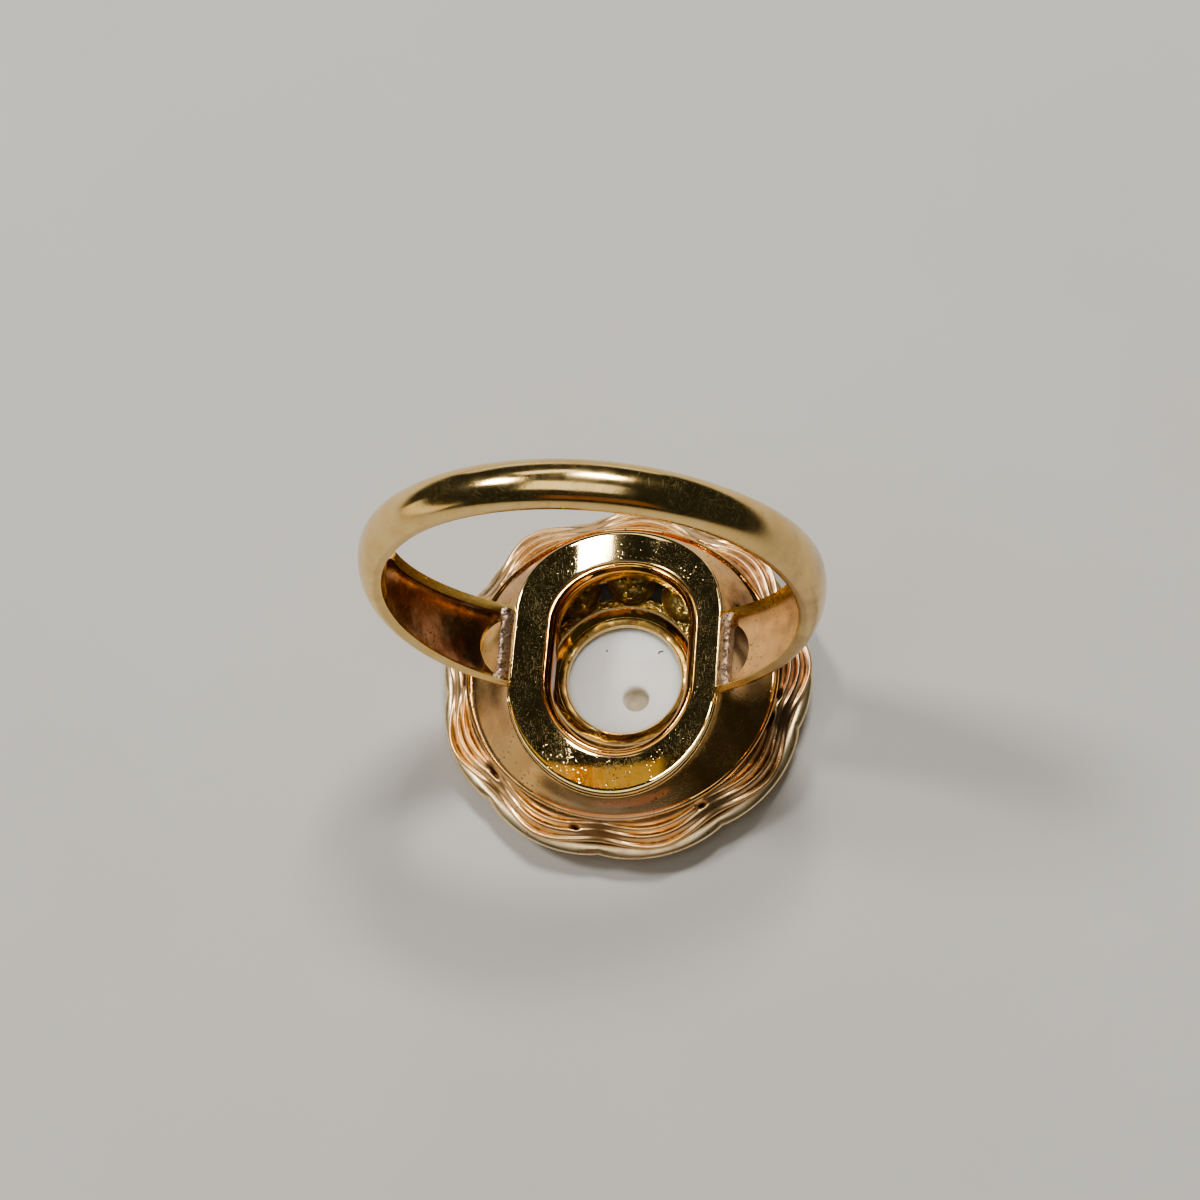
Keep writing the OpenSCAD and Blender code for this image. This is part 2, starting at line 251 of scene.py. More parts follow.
# Materials
class Shader:
    """A Principled material and short ways to add the nodes that feed it. Sizes in mm."""

    def __init__(self, name):
        self.material = bpy.data.materials.new(name)
        self.material.use_nodes = True
        self.nodes, self.links = self.material.node_tree.nodes, self.material.node_tree.links
        self.inputs = self.nodes["Principled BSDF"].inputs
        self.place = self.mapped(self.add("ShaderNodeTexCoord").outputs["Object"], (1 / MM,) * 3)

    def add(self, kind, inputs=None, **settings):
        made = self.nodes.new(kind)
        for key, value in settings.items():
            setattr(made, key, value)
        for key, value in (inputs or {}).items():
            self.feed(made.inputs[key], value)
        return made

    def feed(self, socket, value):
        if isinstance(value, bpy.types.NodeSocket):
            self.links.new(value, socket)
        elif isinstance(value, tuple) and len(value) == 3 and socket.type == "RGBA":
            socket.default_value = (*value, 1)
        else:
            socket.default_value = value

    def finished(self, colour, roughness, normal=None, metallic=0.0):
        """Feeds the surface and returns the material."""
        self.feed(self.inputs["Base Color"], colour)
        self.feed(self.inputs["Roughness"], roughness)
        self.feed(self.inputs["Metallic"], metallic)
        if normal is not None:
            self.feed(self.inputs["Normal"], normal)
        return self.material

    def mapped(self, vector, scale, turn=(0, 0, 0), kind="POINT"):
        made = self.add("ShaderNodeMapping", {"Vector": vector, "Scale": scale}, vector_type=kind)
        made.inputs["Rotation"].default_value = tuple(math.radians(a) for a in turn)
        return made.outputs["Vector"]

    def noise(self, size, detail=4, rough=0.55, place=None, warp=0):
        settings = {"Scale": 1 / size, "Detail": detail, "Roughness": rough, "Distortion": warp}
        made = self.add("ShaderNodeTexNoise", {"Vector": place or self.place, **settings})
        return made.outputs["Fac"]

    def math(self, operation, a, b=0.0, c=0.0):
        return self.add("ShaderNodeMath", {0: a, 1: b, 2: c}, operation=operation).outputs[0]

    def times(self, a, b):
        return self.math("MULTIPLY", a, b)

    def plus(self, level, a, share):
        """level, with a share of a added to it."""
        return self.math("MULTIPLY_ADD", a, share, level)

    def ramp(self, value, low, high):
        """0 where value is below low, 1 where it is above high."""
        made = self.add(
            "ShaderNodeMapRange",
            {"Value": value, "From Min": low, "From Max": high},
            interpolation_type="SMOOTHSTEP",
        )
        return made.outputs["Result"]

    def blend(self, share, a, b):
        made = self.add("ShaderNodeMix", data_type="RGBA")
        self.feed(made.inputs["Factor"], share)
        self.feed(made.inputs["A"], a)
        self.feed(made.inputs["B"], b)
        return made.outputs["Result"]

    def hairlines(self, width, length, turns):
        """Short straight hairlines in several directions, each in bunches of its own. 1 on a
        line."""
        lines = 0.0
        for k, turn in enumerate(turns):
            shifted = self.add("ShaderNodeVectorMath", {0: self.place, 1: (k * 7.3, 0, 0)})
            bunches = self.ramp(self.noise(1.6, detail=2, place=shifted.outputs[0]), 0.42, 0.6)
            stretched = self.mapped(self.place, (length, width, width), turn, "TEXTURE")
            streaks = self.ramp(self.noise(1, detail=1, place=stretched), 0.63, 0.7)
            lines = self.math("MAXIMUM", lines, self.times(streaks, bunches))
        return lines

    def dots(self, spacing, reach):
        """Small round spots. 1 in the middle of a spot."""
        made = self.add("ShaderNodeTexVoronoi", {"Vector": self.place, "Scale": 1 / spacing})
        return self.math("SUBTRACT", 1.0, self.ramp(made.outputs["Distance"], reach * 0.5, reach))

    def near(self, middle, r, soft):
        """1 within r of a point, fading over soft."""
        made = self.add("ShaderNodeVectorMath", {0: self.place, 1: middle}, operation="DISTANCE")
        return self.math("SUBTRACT", 1.0, self.ramp(made.outputs["Value"], r, r + soft))

    def bump(self, height, depth, under=None):
        made = self.add("ShaderNodeBump", {"Height": height, "Distance": depth * MM})
        if under is not None:
            self.feed(made.inputs["Normal"], under)
        return made.outputs["Normal"]


# Directions of the hairlines, as turns about X, Y and Z
HAIRLINE_TURNS = (0, 0, 24), (0, 0, -38), (0, 20, 71), (20, 0, -80)
# What tarnish, darkened places and hairlines add to the roughness, and what hairlines take off the
# mirror
TARNISH_ROUGH, GRIME_AND_SHADE_ROUGH, HAIRLINE_ROUGH, HAIRLINE_DULL = 0.18, 0.35, 0.03, 0.4
# Dark colour of the dirt in pits, and of the painted shade that the meshes ask for
GRIME_AND_SHADE = (0.09, 0.05, 0.03)


def metal(
    name,
    gold,
    pale,
    tarnish,
    rough,
    patch=0.5,
    patch_size=2.6,
    scratch=0.5,
    cut=0.03,
    line_w=0.035,
    line_l=0.9,
    pits=0.4,
    pit_size=0.3,
    grain=0.08,
    dents=0.0,
    dent_size=1.0,
    smears=0.06,
    satin=(),
    matt=(),
    stains_and_painted_light=(),
):
    """Worn metal: two shades of gold, with dirt in its pits and painted shade in grooves, gaps and
    under parts.

    rough is the roughness of the clean metal, and smears is what smeary places add to it.
    patch and patch_size are the strength and the size of the tarnish.
    scratch is the strength of the hairlines, cut their depth, line_w and line_l their size.
    pits and grain are the strength of the dark pits and of the finest bumps.
    dents is the depth of shallow dents in mm.
    satin lists (place, reach, amount) of spots that are less polished than the rest.
    matt lists spots in the same way that lose part of their mirror.
    The list of coloured spots gives (place, reach, share, colour) for each; some are real tarnish,
    others painted light and painted shade.
    """
    s = Shader(name)
    cloud = s.noise(patch_size, detail=7, rough=0.62, warp=0.4)
    patches = s.times(s.ramp(cloud, 0.5, 0.68), patch)
    tone = s.ramp(s.noise(0.9, detail=3), 0.3, 0.7)
    lines = s.hairlines(line_w, line_l, HAIRLINE_TURNS)
    specks = s.times(s.dots(pit_size, 0.26), s.ramp(s.noise(1.1), 0.45, 0.6))
    # Darkening that the mesh asks for, which is painted shade in grooves, gaps and under parts
    grime_and_shade = s.add("ShaderNodeAttribute", attribute_name="grime_and_shade").outputs["Fac"]
    grime_and_shade = s.times(grime_and_shade, s.ramp(s.noise(0.35, detail=5), 0.2, 0.55))

    colour = s.blend(tone, gold, pale)
    colour = s.blend(patches, colour, tarnish)
    # Coloured spots: real tarnish, and painted light and painted shade
    for at, reach, share, tint in stains_and_painted_light:
        spot = s.times(s.near(at, reach * 0.3, reach), s.ramp(cloud, 0.25, 0.6))
        colour = s.blend(s.times(spot, share), colour, tint)
    colour = s.blend(s.times(specks, pits), colour, GRIME_AND_SHADE)
    colour = s.blend(grime_and_shade, colour, GRIME_AND_SHADE)

    level = s.plus(rough, patches, TARNISH_ROUGH)
    level = s.plus(level, lines, HAIRLINE_ROUGH * scratch)
    level = s.plus(level, s.ramp(s.noise(0.5, detail=6), 0.3, 0.8), smears)
    level = s.plus(level, grime_and_shade, GRIME_AND_SHADE_ROUGH)
    for at, reach, amount in satin:
        level = s.plus(level, s.near(at, reach * 0.4, reach), amount)

    height = s.times(lines, -cut * scratch)
    height = s.plus(height, specks, -0.25 * pits)
    height = s.plus(height, s.noise(0.07, detail=3), grain)
    shape = s.bump(height, 0.02)
    if dents:
        shape = s.bump(s.noise(dent_size, detail=1), dents, shape)

    mirror = s.plus(1.0, lines, -HAIRLINE_DULL * scratch)
    for at, reach, amount in matt:
        mirror = s.plus(mirror, s.near(at, reach * 0.4, reach), -amount)
    return s.finished(colour, level, shape, mirror)


BAND_GOLD = metal(
    "band_gold", (0.84, 0.58, 0.24), (0.88, 0.65, 0.31), (0.60, 0.41, 0.18), 0.13,
    patch=0.3, pits=0.2, grain=0.06,
    stains_and_painted_light=(((9.2, -0.6, 11), 8.0, 1.0, (0.56, 0.38, 0.19)),),
)
EDGE_GOLD = metal(
    "edge_gold", (0.92, 0.64, 0.20), (0.96, 0.74, 0.30), (0.60, 0.38, 0.14), 0.14, patch=0.2
)
CHANNEL_GOLD = metal(
    "channel_gold", (0.58, 0.33, 0.17), (0.74, 0.46, 0.25), (0.34, 0.17, 0.08), 0.2,
    patch=0.6, patch_size=1.6, scratch=0.3, pits=1.0, pit_size=0.16, dents=0.02, dent_size=0.6,
    satin=(((7.6, 0, 6.5), 4.0, 0.3),),
    matt=(((7.6, 0, 6.5), 4.0, 0.35),),
    stains_and_painted_light=(
        # Painted shade on the left channel, which faces away from the lamps, and a painted sheen on
        # the right one, which is also made less of a mirror so that it shows
        ((-8.5, 0, 8), 6.0, 0.9, (0.30, 0.10, 0.04)),
        ((7.4, 0, 6.4), 4.0, 0.95, (1.0, 0.64, 0.30)),
    ),
)
PLATE_GOLD = metal(
    "plate_gold", (0.78, 0.56, 0.25), (0.83, 0.63, 0.31), (0.50, 0.36, 0.18), 0.03,
    patch=0.1, patch_size=3.2, scratch=1.1, cut=0.006, line_w=0.03, line_l=0.4,
    pits=0.6, pit_size=0.2, grain=0.02, dents=0.001, dent_size=0.4, smears=0.012,
    satin=(((-0.9, 5.6, 4.2), 1.5, 0.05),),
    # Painted shade that dims the reflection of a lamp at the lower left of the plate
    stains_and_painted_light=(((-4.0, -3.6, 4.2), 0.9, 0.8, (0.45, 0.30, 0.16)),),
)
LIP_GOLD = metal(
    "lip_gold", (0.70, 0.34, 0.10), (0.84, 0.46, 0.16), (0.40, 0.19, 0.07), 0.08,
    patch=0.3, patch_size=1.4, scratch=0.2, dents=0.008, dent_size=0.6,
    stains_and_painted_light=(
        # Painted shade that dims the reflections on the left of the lip, and a painted highlight
        # along its far side
        ((-3.3, -0.8, 4.6), 3.6, 0.85, (0.30, 0.13, 0.05)),
        ((0.5, 4.4, 4.0), 2.0, 0.5, (0.95, 0.60, 0.18)),
    ),
)
CUP_GOLD = metal(
    "cup_gold", (0.90, 0.50, 0.18), (0.95, 0.60, 0.26), (0.50, 0.27, 0.13), 0.09,
    patch=0.5, patch_size=3.0, scratch=0.6, line_w=0.03, line_l=1.4, pits=0.7, pit_size=0.24,
    dents=0.015, dent_size=1.0, smears=0.04,
    satin=(
        ((-4.0, -4.5, 3.0), 6.0, 0.14),
        ((5.8, 0, 3.4), 0.9, 0.35),
        ((-5.8, 0, 3.4), 0.9, 0.3),
    ),
    matt=(((5.6, 0, 3.7), 1.5, 0.8), ((0, -6.7, 3.3), 3.2, 0.3)),
    stains_and_painted_light=(
        # Painted light on the wall seen through the right window, which is also made less of a
        # mirror
        ((5.6, 0, 3.7), 1.5, 1.0, (1.0, 0.70, 0.42)),
        ((-6.0, -3.2, 3.2), 3.0, 0.6, (0.34, 0.21, 0.13)),
        # Painted sheen on the near wall, which is also made less of a mirror
        ((0, -6.7, 3.3), 3.2, 0.8, (0.96, 0.70, 0.46)),
        ((-5.4, 4.6, 3.0), 2.6, 0.6, (0.40, 0.23, 0.16)),
        ((-4.6, -5.4, 3.0), 2.4, 0.5, (0.86, 0.60, 0.28)),
        # Painted shade standing in for the dark reflection on the right of the cup
        ((6.0, 2.8, 3.2), 3.4, 1.0, (0.22, 0.11, 0.06)),
    ),
)
RIBBED_GOLD = metal(
    "ribbed_gold", (0.93, 0.57, 0.27), (0.97, 0.68, 0.38), (0.56, 0.30, 0.14), 0.27,
    patch=0.4, patch_size=1.6, scratch=0.4, grain=0.04, dents=0.01, dent_size=1.1,
    stains_and_painted_light=(
        ((8.2, -1.4, 2.2), 5.0, 1.0, (0.36, 0.22, 0.13)),
        ((7.0, 4.4, 2.2), 4.0, 0.8, (0.50, 0.32, 0.20)),
    ),
)
FRONT_GOLD = metal(
    "front_gold", (0.92, 0.69, 0.40), (0.97, 0.80, 0.52), (0.62, 0.41, 0.24), 0.3,
    patch=0.45, patch_size=2.2, scratch=0.5,
)
ROSETTE_GOLD = metal(
    "rosette_gold", (1.0, 0.78, 0.27), (1.0, 0.88, 0.42), (0.70, 0.46, 0.14), 0.22,
    patch=0.3, patch_size=0.6, pits=0.3, pit_size=0.12, dents=0.05, dent_size=0.2,
)
COLLET_GOLD = metal(
    "collet_gold", (0.88, 0.50, 0.10), (0.97, 0.72, 0.25), (0.30, 0.12, 0.03), 0.06,
    patch=0.8, patch_size=0.9, pits=0.2, pit_size=0.14, grain=0.03, dents=0.14, dent_size=1.2,
    smears=0.03,
    stains_and_painted_light=(
        # Painted shade that darkens the front and the left of the flange's dish
        ((0.4, -3.0, 1.7), 1.5, 0.95, (0.26, 0.10, 0.03)),
        ((-3.0, -0.6, 1.7), 1.4, 0.8, (0.40, 0.15, 0.03)),
    ),
)
RIM_GOLD = metal(
    "rim_gold", (0.98, 0.78, 0.42), (0.99, 0.85, 0.55), (0.75, 0.50, 0.22), 0.2,
    patch=0.3, patch_size=0.8, scratch=0.6, pits=0.2,
    matt=(((0, 0, 1.7), 20, 0.45),),
)


def solder_metal():
    """Dull solder: a gritty skin of pale grains on a brown ground."""
    s = Shader("solder")
    grit = s.noise(0.2, detail=6, rough=0.75)
    pits = s.dots(0.2, 0.32)
    colour = s.blend(s.ramp(grit, 0.42, 0.62), (0.20, 0.12, 0.08), (0.80, 0.66, 0.52))
    colour = s.blend(s.ramp(s.noise(0.7, detail=3), 0.45, 0.6), colour, (0.55, 0.40, 0.27))
    colour = s.blend(s.times(pits, 0.8), colour, (0.08, 0.05, 0.03))
    return s.finished(colour, s.plus(0.2, grit, 0.25), s.bump(s.plus(grit, pits, -0.6), 0.03), 0.9)


# Black marks on the stone's flat back: X, Y and radius
STONE_MARKS = (
    (-0.96, 1.5, 0.03), (1.44, 1.44, 0.025), (1.48, 1.5, 0.03), (1.54, 1.54, 0.03),
    (1.62, 1.54, 0.025),
)


def white_stone():
    """White stone with a grey tone, a few dark specks, black marks, and painted shade in its drill
    hole.
    """
    s = Shader("white_stone")
    cloud = s.ramp(s.noise(2.4, detail=5), 0.35, 0.7)
    colour = s.blend(cloud, (0.86, 0.84, 0.80), (0.93, 0.92, 0.90))
    specks = s.times(s.dots(0.34, 0.1), s.ramp(s.noise(0.8), 0.56, 0.62))
    colour = s.blend(s.times(specks, 0.35), colour, (0.35, 0.32, 0.28))
    for x, y, r in STONE_MARKS:
        colour = s.blend(s.near((x, y, STONE_TOP), r, 0.03), colour, (0.03, 0.03, 0.03))
    # Painted shade in the drill hole, off centre toward +X and -Y
    hole = s.near((DRILL_AT.x + 0.08, DRILL_AT.y - 0.06, STONE_TOP - 0.5), 0.42, 0.34)
    colour = s.blend(hole, colour, (0.52, 0.43, 0.29))
    s.feed(s.inputs["Subsurface Weight"], 1.0)
    s.feed(s.inputs["Subsurface Radius"], (0.9 * MM, 0.8 * MM, 0.7 * MM))
    s.feed(s.inputs["Subsurface Scale"], 1.0)
    bumps = s.bump(s.noise(0.12, detail=4), 0.008)
    return s.finished(colour, s.plus(0.36, s.noise(0.5), 0.2), bumps)


SOLDER = solder_metal()
WHITE_STONE = white_stone()

# Band: degrees by which the domed outside of its section goes on past the widest place
UNDER = 14
ARC_STEPS = 30
# Bevel between the outside and the finger side
FOOT_W, FOOT_H = 0.03, 0.04
# Directions between which the band widens, and the direction of its last full section
WIDENS_FROM, WIDENS_TO, LAST_SECTION = 35, 160, 145
# Marks of its faces
OUTSIDE, EDGE, HOLLOW = 0, 1, 2


def hoop_point(t, r, y):
    return (r * sin(t), y, HOOP_Z + r * cos(t))


def band_w(t):
    return mix(PALM_W, SHOULDER_W, smooth(WIDENS_FROM, WIDENS_TO, abs(t)))


def belly_r(t):
    """Radius of the place where the section is widest."""
    return FINGER_R + BELLY_H * mix(1, 1.5, smooth(WIDENS_FROM, WIDENS_TO, abs(t)))


def band_section(t):
    """Section as (place along the finger, radius, mark, darkening): the domed outside, then the
    finger side, which sinks into the hollow of a shoulder."""
    w, belly = band_w(t), belly_r(t)
    foot = w / 2 * cos(UNDER)
    line = [(-foot + FOOT_W, FINGER_R, EDGE, 0), (-foot, FINGER_R + FOOT_H, OUTSIDE, 0)]
    for a in spread(-UNDER, 180 + UNDER, ARC_STEPS):
        line.append((-w / 2 * cos(a), belly + (CROWN_R - belly) * sin(a), OUTSIDE, 0))
    line += [(foot, FINGER_R + FOOT_H, OUTSIDE, 0), (foot - FOOT_W, FINGER_R, EDGE, 0)]
    depth = smooth(HOLLOW_FROM, HOLLOW_FROM + HOLLOW_RAMP, abs(t))
    inner = (w - 2 * SHELL_T) * mix(0.6, 1, depth)
    for a in spread(180 + UNDER, -UNDER, ARC_STEPS):
        y = -inner / 2 * cos(a)
        # The hollow begins with a rounded tongue: its sides sink later than its middle
        late = 5 * (abs(y) / (inner / 2)) ** 4
        sunk = smooth(HOLLOW_FROM + late, HOLLOW_FROM + late + HOLLOW_RAMP, abs(t)) ** 0.7
        roof = belly + (CROWN_R - SHELL_T - belly) * sin(a)
        mark = HOLLOW if abs(t) > HOLLOW_FROM + 1 and -8 < a < 188 else EDGE
        line.append((y, mix(FINGER_R, roof, sunk), mark, 0.5 * sunk * (1 - clamp(sin(a) * 2))))
    return line


def cut_by(thing, cutter):
    """Takes the cutter's volume out of the thing."""
    change = thing.modifiers.new("cut", "BOOLEAN")
    change.operation, change.solver, change.object = "DIFFERENCE", "EXACT", cutter
    ready = thing.evaluated_get(bpy.context.evaluated_depsgraph_get())
    mesh = bpy.data.meshes.new_from_object(ready)
    thing.modifiers.clear()
    thing.data = mesh
    bpy.data.objects.remove(cutter)


def window_cutter(side, low_z=0.5, high_z=6.5, steps=28):
    """Prism in the shape of the window: straight at the solder, round on the outer side."""
    r = ((WINDOW_W / 2) ** 2 + WINDOW_DEPTH**2) / (2 * WINDOW_DEPTH)
    half = math.degrees(math.asin(WINDOW_W / 2 / r))
    middle_x = SOLDER_X + WINDOW_DEPTH - r
    outline = [(side * (middle_x + r * cos(a)), r * sin(a)) for a in spread(-half, half, steps)]
    n = len(outline)
    mesh = bpy.data.meshes.new("window_cutter")
    mesh.from_pydata(
        [(x * MM, y * MM, z * MM) for z in (low_z, high_z) for x, y in outline],
        [],
        [list(range(n)), list(range(2 * n - 1, n - 1, -1))]
        + [[j, n + j, n + (j + 1) % n, (j + 1) % n] for j in range(n)],
    )
    mesh.materials.append(EDGE_GOLD)
    turn_outward(mesh)
    return add_to_scene("window_cutter", mesh)


def end_t(r):
    """Direction in which a circle of radius r about the finger axis meets the end of the band."""
    return 180 - math.degrees(math.asin(END_X / r))


def make_band():
    full_sections = spread(-LAST_SECTION, LAST_SECTION, 290)
    directions = [-end_t(FINGER_R), *full_sections, end_t(FINGER_R)]
    lines = [band_section(t) for t in directions]
    rings = [[hoop_point(t, r, y) for y, r, _, _ in line] for t, line in zip(directions, lines)]
    for side, at in ((-1, 0), (1, -1)):
        rings[at] = [hoop_point(side * end_t(r), r, y) for y, r, _, _ in lines[at]]
    skin = Skin()
    skin.loft(rings, mark=lambda i, j: lines[i][j][2], grime_and_shade=lambda i, j: lines[i][j][3])
    band = skin.object("band", "shank_and_cup", "yellow_gold", BAND_GOLD, EDGE_GOLD, CHANNEL_GOLD)
    for side in (-1, 1):
        cut_by(band, window_cutter(side))
    shade(band.data, CREASE)


def bore_z(x, r):
    """Height of the surface at distance r from the finger axis, below the axis."""
    return HOOP_Z - math.sqrt(r * r - x * x)


# Solder strips: half their length, and the radii of their face and their foot
SOLDER_HALF_L, SOLDER_R, SOLDER_FOOT_R = 1.72, 8.74, 9.5
# Their side toward the shoulder, from the foot up: past SOLDER_X, and radius
SOLDER_SIDE = (0.14, SOLDER_FOOT_R), (0.11, 9.1), (0.06, 8.88)
# Their face, toward the plate: distance from the middle, and how far it lies below SOLDER_R
SOLDER_FACE = (4.94, 0.005), (4.86, 0.015), (4.79, 0.03), (4.72, 0.06), (4.66, 0.1)
SOLDER_INNER_X = 4.6


def grit(k, y, side):
    """Uneven height of point k of a solder section."""
    fine = noise.noise(Vector((y * 10, k * 2.1, side * 3.1)))
    coarse = noise.noise(Vector((y * 3.4, k * 0.9, side * 5.3)))
    return 0.04 * fine + 0.045 * coarse


def solder_section(y, side):
    """Section of a solder strip as (distance from the middle, height). It widens at its ends."""
    reach = 0.16 * smooth(1.0, 1.7, abs(y))
    section = [
        (SOLDER_X + past + reach + grit(k, y, side), bore_z(SOLDER_X, r))
        for k, (past, r) in enumerate(SOLDER_SIDE, 1)
    ]
    section += [
        (SOLDER_X - 0.02 + reach + grit(4, y, side), bore_z(SOLDER_X, 8.78) + grit(4, y, side)),
        (SOLDER_X - 0.1 + reach, bore_z(5.0, SOLDER_R) + grit(5, y, side)),
    ]
    section += [
        (x, bore_z(x, SOLDER_R + drop) + grit(k, y, side))
        for k, (x, drop) in enumerate(SOLDER_FACE, 7)
    ]
    return section + [(SOLDER_INNER_X, bore_z(SOLDER_INNER_X, r)) for r in (8.92, SOLDER_FOOT_R)]


def make_solder():
    """Gritty strips that close the hollow of each shoulder against the base plate."""
    for side, name in ((-1, "solder_left"), (1, "solder_right")):
        skin = Skin()
        skin.loft([
            [(side * x, y, z) for x, z in solder_section(y, side)]
            for y in spread(-SOLDER_HALF_L, SOLDER_HALF_L, 110)
        ])
        skin.object(name, "shank_and_cup", "yellow_gold", SOLDER)


# Base plate
def oval(w, l, arc=44, straight=8):
    """Outline with straight sides along Y and round ends, counter-clockwise. arc and straight are
    the steps of each end and side."""
    r, c = w / 2, (l - w) / 2
    line = [(r, y) for y in spread(-c, c, straight)[:-1]]
    line += [(r * cos(a), c + r * sin(a)) for a in spread(0, 180, arc)[:-1]]
    line += [(-r, y) for y in spread(c, -c, straight)[:-1]]
    line += [(r * cos(a), -c + r * sin(a)) for a in spread(180, 360, arc)[:-1]]
    return line


# The lip, from inside the head to the flat of the plate: distance from the opening, and radius
LIP_PROFILE = [
    (0, FINGER_R + LIP_REACH), (0, LIP_R + 0.6), (0, LIP_R + 0.3), (0.012, LIP_R + 0.22),
    (0.04, LIP_R + 0.15), (0.075, LIP_R + 0.115), (0.1, LIP_R + 0.09), (0.13, LIP_R + 0.045),
    (0.17, LIP_R + 0.018), (0.22, LIP_R + 0.004), (0.28, LIP_R), (0.33, LIP_R + 0.008),
    (0.38, LIP_R + 0.022), (0.415, LIP_R + 0.042), (LIP_W, PLATE_R + 0.006),
    (LIP_W + 0.03, PLATE_R),
]
# The double edge, from the flat of the plate to its underside: inset from the outline, and radius
EDGE_PROFILE = [
    (0.2, PLATE_R), (0.12, PLATE_R + 0.01), (0.06, PLATE_R + 0.035), (0.025, PLATE_R + 0.07),
    (0.005, PLATE_R + 0.12), (0, PLATE_R + 0.17), (0.02, PLATE_R + 0.195), (0, PLATE_R + 0.22),
    (-0.04, PLATE_R + 0.25), (-0.06, PLATE_R + 0.3), (-0.055, PLATE_R + 0.36),
    (0, PLATE_R + PLATE_T), (0.4, PLATE_R + PLATE_T),
]
FLAT_STEPS = 14


def make_base_plate():
    """Plate curved round the finger, with a rounded lip at the opening and a double edge."""
    def lip(d, r):
        line = [OPENING_AT + Vector(p) for p in oval(OPENING_W + 2 * d, OPENING_L + 2 * d)]
        return [(p.x, p.y, bore_z(p.x, r)) for p in line]

    def plate(inset, r):
        return [(x, y, bore_z(x, r)) for x, y in oval(PLATE_W - 2 * inset, PLATE_L - 2 * inset)]

    rings = [lip(d, r) for d, r in LIP_PROFILE]
    inner, outer = lip(*LIP_PROFILE[-1]), plate(*EDGE_PROFILE[0])
    for u in spread(0, 1, FLAT_STEPS)[1:-1]:
        line = [(mix(p[0], q[0], u), mix(p[1], q[1], u)) for p, q in zip(inner, outer)]
        rings.append([(x, y, bore_z(x, PLATE_R)) for x, y in line])
    rings += [plate(inset, r) for inset, r in EDGE_PROFILE]
    rings += [lip(LIP_W, PLATE_R + PLATE_T), lip(LIP_W, FINGER_R + LIP_REACH)]
    last_lip = len(LIP_PROFILE) - 2
    # Painted shade along the line where the lip meets the flat of the plate
    painted_shade = {last_lip - 1: 0.4, last_lip: 0.7, last_lip + 1: 0.35}
    skin = Skin()
    skin.loft(
        rings,
        joined=True,
        mark=lambda i, j: 1 if i < last_lip or i >= len(rings) - 2 else 0,
        grime_and_shade=lambda i, j: painted_shade.get(i, 0),
    )
    skin.object("base_plate", "shank_and_cup", "yellow_gold", PLATE_GOLD, LIP_GOLD)


# Cup: how far its top stands in from the plate's outline and up into the plate
CUP_TUCK, CUP_SINK = 0.14, 0.18
CUP_DIRECTIONS, WALL_STEPS = 432, 18
CUP_RIM = softened([
    (CUP_R - 0.06, CUP_RIM_Z + 0.05), (CUP_R + 0.01, CUP_RIM_Z + 0.02),
    (CUP_R + 0.05, CUP_RIM_Z - 0.05), (CUP_R + 0.05, CUP_RIM_Z - 0.16),
    (CUP_R, CUP_RIM_Z - 0.24), (CUP_R - 0.2, CUP_RIM_Z - 0.3), (CUP_R - CUP_T, CUP_RIM_Z - 0.2),
], closed=False)


def plate_reach(a):
    """Distance from the middle of the head to the outline of the base plate."""
    r, c = PLATE_W / 2, (PLATE_L - PLATE_W) / 2
    s, k = abs(sin(a)), abs(cos(a))
    return r / k if r * s <= c * k else c * s + math.sqrt(r * r - c * c * k * k)


def wall_z(top_z, s):
    """Height of the cup wall at share s of the way to its rim, toward which it flares."""
    return mix(top_z, CUP_RIM_Z, s**0.8) - 0.12 * smooth(0.45, 0.9, s) * (1 - smooth(0.9, 1.0, s))


def cup_section(a):
    """Section as (radius, height): down the outside, round the rim and up the inside."""
    top_r = plate_reach(a) - CUP_TUCK
    top_z = bore_z(top_r * cos(a), PLATE_R + PLATE_T)
    section = [(top_r - 0.05, top_z + CUP_SINK), (top_r, top_z - 0.05)]
    section += [(mix(top_r, CUP_R, s), wall_z(top_z, s)) for s in spread(0, 1, WALL_STEPS)[1:-1]]
    section += CUP_RIM
    section += [(mix(top_r, CUP_R, s) - CUP_T, wall_z(top_z, s)) for s in (0.7, 0.35)]
    top_inner_r = top_r - CUP_T - 0.05
    return section + [(top_inner_r, top_z), (top_inner_r, top_z + CUP_SINK)]


def make_cup():
    """Cup wall from the base plate to its rolled rim, with painted shade where it meets the plate.
    """
    painted_shade = {1: 0.8, 2: 0.8, 3: 0.35}
    skin = Skin()
    skin.loft(
        [[polar(a, r, z) for r, z in cup_section(a)] for a in full_turn(CUP_DIRECTIONS)],
        joined=True,
        grime_and_shade=lambda i, j: painted_shade.get(j, 0),
    )
    skin.object("cup", "shank_and_cup", "rose_gold", CUP_GOLD)


# Ribbed layer: radius at a tip and in a notch, and height, of each ridge from the cup outward
RIDGES = [(7.22, 7.08, 2.40), (7.70, 7.26, 2.26), (8.14, 7.56, 2.05), (8.68, 7.96, 1.80)]
RIDGE_STEPS = 12
PETAL_DIRECTIONS = full_turn(PETALS * 60)
# Depth of the grooves between the ridges, in a notch and at a tip
GROOVE_SHALLOW, GROOVE_DEEP = 0.02, 0.2
# How much shorter a petal is at the -Y side of the head, and the radii where that sets in
TRIM, TRIM_FROM, TRIM_TO = 0.36, 7.0, 8.7
